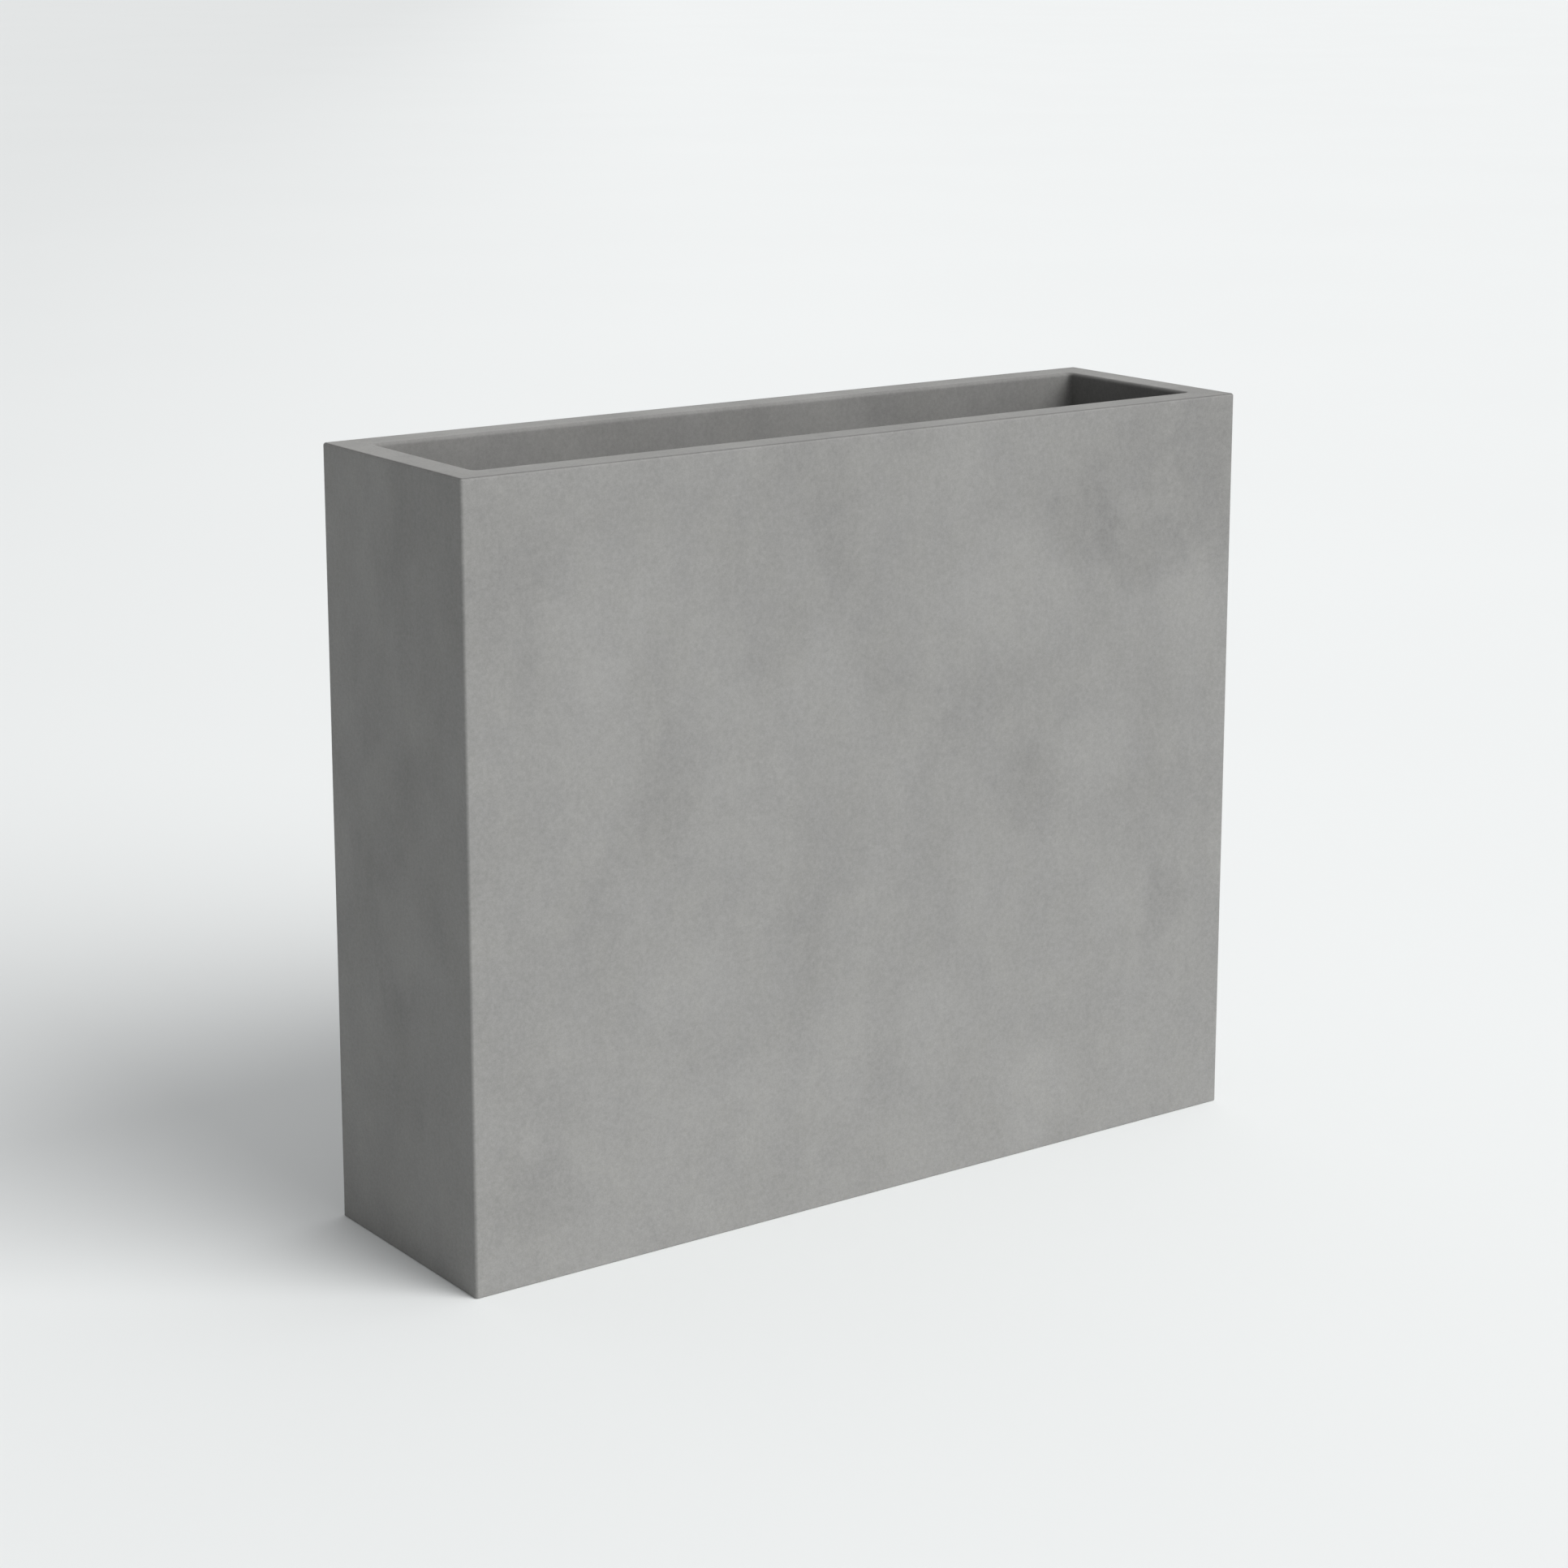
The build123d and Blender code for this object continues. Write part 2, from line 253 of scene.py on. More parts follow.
def cut(target, tools, operation="DIFFERENCE"):
    """Applies one exact boolean between two meshes, and returns the new mesh."""
    scene = bpy.context.scene
    first = bpy.data.objects.new("first", target)
    second = bpy.data.objects.new("second", tools)
    for thing in (first, second):
        scene.collection.objects.link(thing)
    modifier = first.modifiers.new("cut", "BOOLEAN")
    modifier.object, modifier.operation, modifier.solver = second, operation, "EXACT"
    bpy.context.view_layer.update()
    evaluated = first.evaluated_get(bpy.context.evaluated_depsgraph_get())
    result = bpy.data.meshes.new_from_object(evaluated)
    for thing in (first, second):
        bpy.data.objects.remove(thing)
    return result


def prisms(places, radius, low, high, sides=48, turn=0.0):
    """A closed upright prism at each place."""
    bm = bmesh.new()
    for x, y in places:
        middle = Matrix.Translation((x, y, (low + high) / 2)) @ Matrix.Rotation(turn, 4, "Z")
        bmesh.ops.create_cone(bm, cap_ends=True, segments=sides, radius1=radius, radius2=radius,
                              depth=high - low, matrix=middle)
    return plain_mesh("prisms", bm, outwards=False)


def blocks(boxes):
    """A closed box between each pair of corners."""
    bm = bmesh.new()
    for low, high in boxes:
        low, high = Vector(low), Vector(high)
        size = Matrix.Diagonal((*(high - low), 1))
        bmesh.ops.create_cube(bm, size=1, matrix=Matrix.Translation((low + high) / 2) @ size)
    return plain_mesh("blocks", bm, outwards=False)


# ---------------------------------------------------------------- concrete
def inside_of(n, axis, limit, fade):
    """1 where the axis is nearer the middle than limit, down to 0 over fade."""
    return n.span(n.math("ABSOLUTE", axis), limit, limit + fade, 1.0, 0.0)


def rim_shade_and_wear(n, gain, x, y, z, wear_and_highlight):
    """The shell's gain with painted shade inside the opening's outline, a painted dark line round the top
    edge that also dims its highlight, and lighter corners, partly wear and partly painted highlight.
    """
    # painted shade: everything within the opening's outline in plan (the opening's walls, the inner floor,
    # and also the middle of the underside) is made darker
    opening_shade = n.math("MULTIPLY", inside_of(n, x, HALF_LENGTH - RIM, RIM_ROUND),
                    inside_of(n, y, HALF_WIDTH - RIM, RIM_ROUND))
    gain = n.math("MULTIPLY", gain, n.math("MULTIPLY_ADD", opening_shade, -0.13, 1.0))

    # painted shade: a thin dark line on the outer top edge's rounding, which also dims the highlight that the
    # rounding catches
    below = n.math("SUBTRACT", HEIGHT, z)
    edge_shade_line = n.math("MULTIPLY", n.span(below, 0.0001, 0.0003), n.span(below, 0.0007, 0.0013, 1.0, 0.0))
    sides = [n.span(n.math("ABSOLUTE", axis), half - 2 * TOP_ROUND, half - TOP_ROUND)
             for axis, half in ((x, HALF_LENGTH), (y, HALF_WIDTH))]
    edge_shade_line = n.math("MULTIPLY", edge_shade_line, n.math("MAXIMUM", sides[0], sides[1]))
    gain = n.math("MULTIPLY", gain, n.math("MULTIPLY_ADD", edge_shade_line, -0.32, 1.0))

    # the outer vertical corners and top edges are made lighter, partly wear and partly painted highlight
    edge = [n.span(n.math("ABSOLUTE", axis), half - EDGE_WEAR_AND_HIGHLIGHT, half)
            for axis, half in ((x, HALF_LENGTH), (y, HALF_WIDTH), (z, HEIGHT))]
    pairs = [n.math("MULTIPLY", edge[i], edge[j]) for i, j in ((0, 1), (1, 2), (0, 2))]
    edge = n.math("MAXIMUM", n.math("MAXIMUM", pairs[0], pairs[1]), pairs[2])
    return n.math("MULTIPLY_ADD", n.math("MULTIPLY", edge, wear_and_highlight), 0.03, gain)


def concrete(name, shade_of_grey, cloud=1.0, grain=1.0, patches=(), rim=False, rough=0.72):
    """Cast concrete: soft upright clouds and streaks, speckle, fine grain and a slightly uneven skin, with
    painted light that makes it lighter low down and on the flat top.
    """
    n = Nodes(name)
    x, y, z = n.xyz(n.place)
    broad = n.noise(3.4, 2, 0.5, 0.2, stretch=(1, 1, 1.4), shift=(3.1, 1.7, 0.4))
    clouds = n.noise(12.0, 4, 0.55, 0.15, stretch=(1, 1, 1.3), shift=(0.37, 2.3, 5.2))
    small = n.noise(26, 3, 0.6, 0.2, stretch=(1, 1, 1.6), shift=(7.7, 0.2, 1.1))
    puffs = n.span(n.noise(12.5, 2, 0.5, 0.35, stretch=(1, 1, 1.3), shift=(1.3, 4.4, 2.9)), 0.47, 0.60)
    puffs = n.math("MULTIPLY", puffs, n.span(n.noise(3.7, 1, shift=(9, 5, 2)), 0.38, 0.62))
    streaks = n.span(n.noise(20, 2, 0.5, 0.2, stretch=(1, 1, 3.2), shift=(2.2, 8.1, 0.6)), 0.56, 0.72)
    speckle = n.noise(75, 3, 0.65, 0.1, stretch=(1, 1, 1.4), shift=(4.1, 6.3, 0.9))
    fine = n.noise(260, 3, 0.7)
    grit = n.noise(900, 2, 0.6)

    # the front's own clouds are placed below, so the general ones are fainter there
    front = n.span(y, 0.0, -0.12, smooth=False) if patches else 0.0
    clouded = n.math("MULTIPLY", n.centred(broad), 0.24 * cloud)
    clouded = n.math("MULTIPLY_ADD", n.centred(clouds), 0.30 * cloud, clouded)
    clouded = n.math("MULTIPLY_ADD", n.centred(small), 0.16 * cloud, clouded)
    clouded = n.math("MULTIPLY_ADD", puffs, 0.040 * cloud, clouded)
    clouded = n.math("MULTIPLY_ADD", streaks, -0.040 * cloud, clouded)
    clouded = n.math("MULTIPLY", clouded, n.math("MULTIPLY_ADD", front, -0.40, 1.0))
    clouded = n.math("MULTIPLY_ADD", n.centred(speckle), 0.09 * cloud, clouded)
    gain = n.math("MULTIPLY_ADD", n.centred(fine), 0.42 * grain, n.math("ADD", clouded, 1.0))
    gain = n.math("MULTIPLY_ADD", n.centred(grit), 0.30 * grain, gain)
    # painted light: lighter towards the bottom and darker towards the top, as floor bounce would light it
    gain = n.math("MULTIPLY", gain, n.span(z, 0.0, HEIGHT, 1.035, 0.955, smooth=False))
    # painted highlight: the flat top is made lighter than the sides
    gain = n.math("MULTIPLY", gain, n.span(z, HEIGHT - 0.0006, HEIGHT - 0.0002, 1.0, 1.21))

    ragged = n.math("MULTIPLY_ADD", n.centred(speckle), 1.4, n.math("MULTIPLY", streaks, 0.3))
    ragged = n.math("MULTIPLY_ADD", n.centred(small), 2.0, ragged)
    for across, up, wide, tall, strength in patches:
        along = n.math("DIVIDE", n.math("SUBTRACT", x, across), wide)
        high = n.math("DIVIDE", n.math("SUBTRACT", z, up), tall)
        near = n.math("MULTIPLY_ADD", along, along, n.math("MULTIPLY_ADD", high, high, ragged))
        gain = n.math("MULTIPLY_ADD", n.span(near, 0.2, 1.5, strength, 0.0), front, gain)
    if rim:
        gain = rim_shade_and_wear(n, gain, x, y, z, n.span(small, 0.35, 0.65, 0.3, 1.0))

    colour = n.mix(n.span(small, 0.35, 0.65), grey(shade_of_grey, 0.022), grey(shade_of_grey, 0.030))
    unevenness = n.math("MULTIPLY_ADD", small, 0.5, clouds)
    normal = n.bump(unevenness, 0.0012, 0.35)
    normal = n.bump(n.math("MULTIPLY_ADD", grit, 0.5, fine), 0.00012, 0.6, normal)
    roughness = n.math("MULTIPLY_ADD", n.centred(clouds), -0.35, rough)
    roughness = n.math("MULTIPLY_ADD", n.centred(fine), 0.15, roughness)
    return n.set(Base_Color=n.brighten(colour, gain), Roughness=roughness, Normal=normal,
                 Specular_IOR_Level=0.35)


# The front face's larger clouds, dark ones first: across from its middle, up from the
# floor, half-width, half-height, and how much darker or lighter.
FRONT_CLOUDS = [
    (0.245, 0.635, 0.045, 0.045, -0.075), (0.330, 0.605, 0.055, 0.042, -0.080),
    (0.415, 0.670, 0.050, 0.110, -0.080), (0.300, 0.690, 0.070, 0.050, -0.045),
    (-0.050, 0.670, 0.035, 0.070, -0.050), (-0.400, 0.670, 0.055, 0.070, -0.040),
    (0.190, 0.380, 0.045, 0.045, -0.045), (-0.240, 0.440, 0.038, 0.065, -0.040),
    (0.010, 0.165, 0.030, 0.075, -0.045), (-0.390, 0.080, 0.050, 0.055, -0.055),
    (0.370, 0.230, 0.032, 0.038, -0.050), (0.170, 0.470, 0.100, 0.080, -0.025),
    (0.170, 0.580, 0.075, 0.070, 0.060), (0.390, 0.525, 0.045, 0.080, 0.060),
    (-0.070, 0.480, 0.060, 0.085, 0.045), (0.270, 0.400, 0.055, 0.045, 0.045),
    (-0.310, 0.610, 0.065, 0.075, 0.035), (-0.220, 0.255, 0.070, 0.042, 0.040),
    (-0.050, 0.160, 0.060, 0.065, 0.040), (0.070, 0.160, 0.050, 0.050, 0.050),
    (0.210, 0.060, 0.055, 0.055, 0.060), (-0.170, 0.120, 0.055, 0.050, 0.035),
    (0.300, 0.240, 0.045, 0.035, 0.030), (-0.390, 0.128, 0.014, 0.016, 0.080),
]

shell_concrete = concrete("shell_concrete", 0.2395, patches=FRONT_CLOUDS, rim=True)
# painted shade: the inside pieces' concrete is darker than the shell's, and it is also rougher with more
# cloud and grain
inner_concrete = concrete("inner_concrete", 0.208, cloud=1.2, grain=1.6, rough=0.82)


# ---------------------------------------------------------------- the shell
def quarter(centre_in, centre_z, radius, start, end, steps):
    """Profile points on an arc: inset from the outer face, height, and the profile's outward direction."""
    rows = []
    for i in range(steps + 1):
        angle = math.radians(start + (end - start) * i / steps)
        out, up = math.cos(angle), math.sin(angle)
        rows.append((centre_in - out * radius, centre_z + up * radius, out, up))
    return rows


def shell_profile():
    """Rows of inset, height, outward and upward share of the normal, and corner radius."""
    rows = [(inset, z, out, up, max(OUTER_CORNER - inset, LEAST_CORNER))
            for inset, z, out, up in quarter(BOTTOM_ROUND, BOTTOM_ROUND, BOTTOM_ROUND, -90, 0, 4)]
    rows += [(0, z, 1, 0, OUTER_CORNER) for z in spread(0.004, HEIGHT - 0.005, 0.018)]
    rows += [(inset, z, out, up, max(OUTER_CORNER - inset, LEAST_CORNER))
             for inset, z, out, up in quarter(TOP_ROUND, HEIGHT - TOP_ROUND, TOP_ROUND, 0, 90, 8)]
    inner_flat = RIM - RIM_ROUND
    for inset in spread(TOP_ROUND + 0.0015, inner_flat - 0.0015, 0.006):
        share = (inset - TOP_ROUND) / (inner_flat - TOP_ROUND)
        corner = LEAST_CORNER + share * (OPENING_CORNER + RIM_ROUND - LEAST_CORNER)
        rows.append((inset, HEIGHT, 0, 1, corner))
    rows += [(inset, z, out, up, OPENING_CORNER + RIM - inset)
             for inset, z, out, up in quarter(inner_flat, HEIGHT - RIM_ROUND, RIM_ROUND, 90, 180, 8)]
    rows += [(RIM, z, -1, 0, OPENING_CORNER) for z in spread(HEIGHT - 0.006, RIM_BOTTOM + 0.001, 0.012)]
    rows.append((RIM, RIM_BOTTOM, -1, 0, OPENING_CORNER))
    slope_steps = 4
    for i in range(1, slope_steps + 1):
        share = i / slope_steps
        rows.append((RIM + (WALL - RIM) * share, RIM_BOTTOM + (SLOPE_BOTTOM - RIM_BOTTOM) * share,
                     -0.7, -0.7, OPENING_CORNER + (CAVITY_CORNER - OPENING_CORNER) * share))
    rows += [(WALL, z, -1, 0, CAVITY_CORNER) for z in spread(SLOPE_BOTTOM - 0.004, FLOOR + 0.003, 0.03)]
    rows.append((WALL, FLOOR, -1, 0, CAVITY_CORNER))
    return rows


def shell_skin():
    """The trough as one closed skin, which wanders inwards a little as a cast face does."""
    straight_x, straight_y, step = 0.40, 0.078, 0.018
    along_x, along_y = spread(-straight_x, straight_x, step), spread(-straight_y, straight_y, step)
    fade = 0.02  # the wandering dies out over this height, so the underside stays flat
    rings = []
    for inset, z, out, up, corner in shell_profile():
        share = min(1.0, z / fade)
        points = []
        for point, away in ring(HALF_LENGTH - inset, HALF_WIDTH - inset, corner, z, along_x, along_y):
            normal = away * out + Vector((0, 0, up))
            inwards = WAVE * (0.5 + 0.5 * noise.noise(point / WAVE_LENGTH + Vector((5, 3, 1))))
            points.append(point - normal * max(0.0, inwards) * share)
        rings.append(points)
    return plain_mesh("shell_body", skin(rings))


def shell_mesh():
    """The trough with its corner blocks, foot recesses, sockets, key holes and drains."""
    feet = []
    for corner in CORNERS:
        low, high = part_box("foot_pad_" + corner)
        feet.append(((low.x + high.x) / 2, (low.y + high.y) / 2))
    foot_blocks = []
    for foot_x, foot_y in feet:
        xs = sorted((foot_x - math.copysign(FOOT_BLOCK, foot_x),
                     math.copysign(HALF_LENGTH - WALL / 2, foot_x)))
        ys = sorted((foot_y - math.copysign(FOOT_BLOCK, foot_y),
                     math.copysign(HALF_WIDTH - WALL / 2, foot_y)))
        foot_blocks.append(((xs[0], ys[0], FLOOR / 2), (xs[1], ys[1], FOOT_BLOCK_TOP)))
    drain_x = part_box("drain_sleeves")[1].x - SLEEVE_FLANGE

    through = 0.01  # how far a cutter runs past the face that it opens
    lap = 0.001  # how far a cutter runs into the hollow before it
    mesh = cut(shell_skin(), blocks(foot_blocks), "UNION")
    mesh = cut(mesh, prisms(feet, RECESS_RADIUS, -through, RECESS_TOP, 64))
    mesh = cut(mesh, prisms(feet, SOCKET_RADIUS, RECESS_TOP - lap, SOCKET_TOP, 6, math.pi / 6))
    mesh = cut(mesh, prisms(feet, KEY_HOLE_RADIUS, SOCKET_TOP - lap, FOOT_BLOCK_TOP + through, 32))
    mesh = cut(mesh, prisms([(-drain_x, 0), (drain_x, 0)], DRAIN_RADIUS, -through, FLOOR + through, 48))
    shade(mesh, 30)
    return mesh


def weigh_normals(thing):
    """Flat faces shade flat right up to their rounded edges."""
    thing.modifiers.new("weighted", "WEIGHTED_NORMAL").keep_sharp = True


weigh_normals(add("planter_shell", shell_mesh(), "shell", shell_concrete, ["shell"]))


# ---------------------------------------------------------------- other materials
def plastic(name, colour, rough, scuff=0.10):
    """Moulded plastic: a fine spark-eroded grain, faint flow clouds and light scuffs."""
    n = Nodes(name)
    fine = n.noise(1100, 2, 0.6)
    flow = n.noise(9, 2, 0.5, 0.6)
    scuffs = n.span(n.noise(60, 3, 0.65, 1.2, stretch=(4, 4, 1)), 0.60, 0.72)
    gain = n.math("MULTIPLY_ADD", n.centred(flow), 0.30, 1.0)
    gain = n.math("MULTIPLY_ADD", scuffs, scuff * 2, gain)
    roughness = n.math("MULTIPLY_ADD", n.centred(flow), 0.25, rough)
    roughness = n.math("MULTIPLY_ADD", scuffs, 0.12, roughness)
    return n.set(Base_Color=n.brighten(colour, gain), Roughness=roughness,
                 Normal=n.bump(fine, 0.00006, 0.8), Specular_IOR_Level=0.45)


def rubber(name, colour):
    """Matt rubber with a dusty bloom."""
    n = Nodes(name)
    bloom = n.noise(35, 3, 0.6)
    fine = n.noise(900, 2, 0.6)
    gain = n.span(bloom, 0.3, 0.75, 0.8, 1.9)
    return n.set(Base_Color=n.brighten(colour, gain), Roughness=n.span(bloom, 0.3, 0.7, 0.62, 0.85),
                 Normal=n.bump(fine, 0.00008, 0.7), Specular_IOR_Level=0.35)


def metal(name, colour, rough, along=(1, 1, 1)):
    """Bare metal with fine drawing lines along one direction and slight handling marks."""
    n = Nodes(name)
    lines = n.noise(900, 2, 0.55, 0.0, stretch=along)
    marks = n.noise(45, 3, 0.6, 0.8)
    gain = n.math("MULTIPLY_ADD", n.centred(lines), 0.25, 1.0)
    gain = n.math("MULTIPLY_ADD", n.centred(marks), 0.20, gain)
    roughness = n.math("MULTIPLY_ADD", n.centred(lines), 0.25, rough)
    roughness = n.math("MULTIPLY_ADD", n.centred(marks), 0.25, roughness)
    return n.set(Base_Color=n.brighten(colour, gain), Roughness=roughness, Metallic=1.0,
                 Normal=n.bump(lines, 0.00002, 0.5))


liner_plastic = plastic("liner_plastic", (0.068, 0.069, 0.072, 1), 0.46)
bracket_plastic = plastic("bracket_plastic", (0.036, 0.036, 0.038, 1), 0.40, scuff=0.05)
sleeve_plastic = plastic("sleeve_plastic", (0.12, 0.12, 0.13, 1), 0.5, scuff=0.05)
pad_plastic = plastic("pad_plastic", (0.06, 0.06, 0.06, 1), 0.55)
strip_rubber = rubber("strip_rubber", (0.030, 0.030, 0.030, 1))
plug_rubber = rubber("plug_rubber", (0.16, 0.16, 0.155, 1))
handle_steel = metal("handle_steel", (0.62, 0.62, 0.61, 1), 0.28, (1, 12, 12))
rivet_aluminium = metal("rivet_aluminium", (0.70, 0.70, 0.70, 1), 0.34)
socket_steel = metal("socket_steel", (0.55, 0.55, 0.54, 1), 0.38, (1, 1, 8))
stud_steel = metal("stud_steel", (0.58, 0.58, 0.58, 1), 0.33, (6, 6, 1))


def keep(node, material, bevel):
    """A CAD node that shows as it is, with its own material and edges eased by a modifier."""
    sharp = 40  # degrees
    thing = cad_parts[node]
    thing.data.materials.clear()
    thing.data.materials.append(material)
    weld = thing.modifiers.new("weld", "WELD")
    weld.merge_threshold = 0.00001
    ease = thing.modifiers.new("ease", "BEVEL")
    ease.width, ease.segments = bevel, 3
    ease.limit_method, ease.angle_limit = "ANGLE", math.radians(sharp)
    weigh_normals(thing)
    shade(thing.data, sharp)


keep("ledge_battens", inner_concrete, 0.0015)
keep("deck", inner_concrete, 0.0015)
keep("deck_strips", strip_rubber, 0.0006)
keep("drain_sleeves", sleeve_plastic, 0.0006)
keep("foot_sockets", socket_steel, 0.0004)
for corner in CORNERS:
    keep("foot_pad_" + corner, pad_plastic, 0.0005)
    keep("foot_stud_" + corner, stud_steel, 0.0003)
keep("handle_brackets", bracket_plastic, 0.0008)


# ---------------------------------------------------------------- the planting insert
liner_low, liner_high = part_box("liner")
LIP_X, LIP_Y, LIP_TOP, LINER_BOTTOM = liner_high.x, liner_high.y, liner_high.z, liner_low.z
LIP, LINER_WALL, LINER_FLOOR, LINER_CORNER = 0.007, 0.003, 0.003, 0.014
LIP_THICK, SKIRT, SKIRT_WALL = 0.003, 0.012, 0.0025
PLUG_RADIUS, PLUG_GAP = 0.012, 0.00006  # of the plugs' holes, and the clearance in them
RIB, RIB_HALF, RIB_SLOPE, RIB_PITCH = 0.0009, 0.0026, 0.0012, 0.054
RIBS_X = [RIB_PITCH * (i - 6.5) for i in range(14)]
RIBS_Y = [RIB_PITCH * (i - 1) for i in range(3)]


def ribbed(centres, limit):
    """Side points with a close pair at each edge of each rib, and one at the middle of each bay."""
    places = {-limit, limit}
    for centre in centres:
        for offset in (-RIB_HALF - RIB_SLOPE, -RIB_HALF, 0, RIB_HALF, RIB_HALF + RIB_SLOPE):
            places.add(centre + offset)
        places.add(centre + RIB_PITCH / 2)
    return sorted(place for place in places if abs(place) <= limit)


def rib_height(point, away):
    """How proud of the wall a rib stands at this point, and nothing on the rounded corners."""
    if abs(away.x) > 0.01 and abs(away.y) > 0.01:
        return 0.0
    along, centres = (point.x, RIBS_X) if abs(away.y) > 0.5 else (point.y, RIBS_Y)
    return RIB if any(abs(along - centre) <= RIB_HALF + 1e-6 for centre in centres) else 0.0


def liner_profile():
    """Rows of inset from the outer wall, height, and 1 where the ribs stand."""
    bottom, skirt_low = LINER_BOTTOM, LIP_TOP - SKIRT
    skirt_in = -(LIP - SKIRT_WALL)
    under_lip = LIP_TOP - LIP_THICK
    foot_round, lip_round, mouth_round, floor_round = 0.002, 0.0015, 0.001, 0.003
    groove_ease, skirt_ease = 0.001, 0.0008  # bevels in the groove under the lip and at the skirt's end
    rows = [(inset, z, 0) for inset, z, out, up in
            quarter(foot_round, bottom + foot_round, foot_round, -90, 0, 4)]
    rows += [(0, bottom + 0.010, 0), (0, bottom + 0.013, 1)]
    rows += [(0, z, 1) for z in spread(bottom + 0.033, skirt_low - 0.030, 0.04)]
    rows += [(0, skirt_low - 0.020, 1), (0, skirt_low - 0.016, 0)]
    rows += [(0, under_lip - groove_ease, 0), (-groove_ease, under_lip, 0)]
    rows += [(skirt_in + groove_ease, under_lip, 0), (skirt_in, under_lip - groove_ease, 0)]
    rows += [(skirt_in, skirt_low + skirt_ease, 0), (skirt_in - skirt_ease, skirt_low, 0)]
    rows += [(-LIP + skirt_ease, skirt_low, 0), (-LIP, skirt_low + skirt_ease, 0)]
    rows.append((-LIP, LIP_TOP - 0.004, 0))
    rows += [(inset, z, 0) for inset, z, out, up in
             quarter(-LIP + lip_round, LIP_TOP - lip_round, lip_round, 0, 90, 5)]
    rows.append((-0.002, LIP_TOP, 0))
    rows += [(inset, z, 0) for inset, z, out, up in
             quarter(LINER_WALL - mouth_round, LIP_TOP - mouth_round, mouth_round, 90, 180, 4)]
    rows += [(LINER_WALL, z, 0) for z in spread(LIP_TOP - 0.006, bottom + LINER_FLOOR + 0.005, 0.03)]
    rows += [(inset, z, 0) for inset, z, out, up in
             quarter(LINER_WALL + floor_round, bottom + LINER_FLOOR + floor_round, floor_round, 0, -90, 4)]
    return rows


def liner_mesh():
    """Floor, ribbed outer wall, folded lip with its skirt, and inner wall, as one closed skin."""
    corner_room = LIP + LINER_CORNER + 0.002  # from the lip's edge to the last side point
    along_x, along_y = ribbed(RIBS_X, LIP_X - corner_room), ribbed(RIBS_Y, LIP_Y - corner_room)
    rings = []
    for inset, z, rib in liner_profile():
        corner = max(LINER_CORNER - inset, 0.004)
        rings.append([point + away * (rib * rib_height(point, away)) for point, away in
                      ring(LIP_X - LIP - inset, LIP_Y - LIP - inset, corner, z, along_x, along_y)])
    plugs = []
    for side in ("left", "right"):
        low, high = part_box("drain_plug_" + side)
        plugs.append(((low.x + high.x) / 2, 0))
    holes = prisms(plugs, PLUG_RADIUS, LINER_BOTTOM - 0.01, LINER_BOTTOM + 0.02)
    mesh = cut(plain_mesh("liner_body", skin(rings)), holes)
    shade(mesh, 30)
    return mesh


weigh_normals(add("planting_insert", liner_mesh(), "liner", liner_plastic, ["liner"]))


# ---------------------------------------------------------------- rivets, handles, plugs
def turned(bm, start, axis, profile, around=20):
    """A closed solid of revolution about axis: profile holds the distance from start and the radius there."""
    turn = axis.to_track_quat("Z", "Y").to_matrix()
    loops = []
    for along, radius in profile:
        loop = []
        for j in range(around):
            angle = 2 * math.pi * j / around
            loop.append(bm.verts.new(start + turn @ Vector((radius * math.cos(angle),
                                                            radius * math.sin(angle), along))))
        loops.append(loop)
    bridge(bm, loops)


def rivet_profile(grip, head, head_radius, shank_radius, rows=6):
    """Both low domed heads and the shank between them, which is as long as the grip."""
    dome = []
    for i in range(rows + 1):
        angle = math.radians(86 * i / rows)
        dome.append((head * (0.25 + 0.75 * math.sin(angle)), head_radius * math.cos(angle)))
    first = [(-rise, radius) for rise, radius in reversed(dome)] + [(0.0, head_radius), (0.0, shank_radius)]
    return first + [(grip - along, radius) for along, radius in reversed(first)]


def rivet_mesh():
    """All eight rivets: four through each bracket and the insert's end wall behind it."""
    low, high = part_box("bracket_rivets")
    head, head_radius, shank_radius, bracket_plate = 0.0013, 0.0036, 0.002, 0.012
    outer, inner = high.x - head, LIP_X - LIP - LINER_WALL - bracket_plate
    profile = rivet_profile(outer - inner, head, head_radius, shank_radius)
    bm = bmesh.new()
    for side in (-1, 1):
        for y in (high.y - head_radius, head_radius - high.y):
            for z in (low.z + head_radius, high.z - head_radius):
                turned(bm, Vector((side * outer, y, z)), Vector((-side, 0, 0)), profile)
    return smooth_mesh("rivets", bm)


add("rivets", rivet_mesh(), "liner", rivet_aluminium, ["bracket_rivets"])


DOME = 0.16  # how far a wire's end bulges, as a share of its radius


def tube(points, radius, around=20):
    """A closed round wire through points in one plane of constant X, its ends slightly domed."""
    bm = bmesh.new()
    loops = []
    last = len(points) - 1
    side = Vector((1, 0, 0))
    for i, point in enumerate(points):
        ahead = (points[min(i + 1, last)] - points[max(i - 1, 0)]).normalized()
        up = side.cross(ahead).normalized()
        loops.append([bm.verts.new(point + (side * math.cos(2 * math.pi * j / around)
                                            + up * math.sin(2 * math.pi * j / around)) * radius)
                      for j in range(around)])
    caps = []
    for loop, end, beside in ((loops[0], points[0], points[1]), (loops[-1], points[-1], points[-2])):
        out = (end - beside).normalized()
        caps.append([bm.verts.new(v.co + (end - v.co) * 0.22 + out * radius * DOME) for v in loop])
    bridge(bm, [caps[0]] + loops + [caps[1]])
    return bm


def rounded_route(corners, radius, steps=8):
    """Straight runs joined by arcs, all in one plane of constant X."""
    route = [corners[0]]
    for before, corner, after in zip(corners, corners[1:], corners[2:]):
        back, ahead = (before - corner).normalized(), (after - corner).normalized()
        centre = corner + (back + ahead) * radius
        for i in range(steps + 1):
            angle = math.pi / 2 * i / steps
            route.append(centre - ahead * radius * math.cos(angle) - back * radius * math.sin(angle))
    route.append(corners[-1])
    return route


WIRE, BEND = 0.0025, 0.006
BRACKET_WIDTH, BRACKET_GAP = 0.016, 0.0005


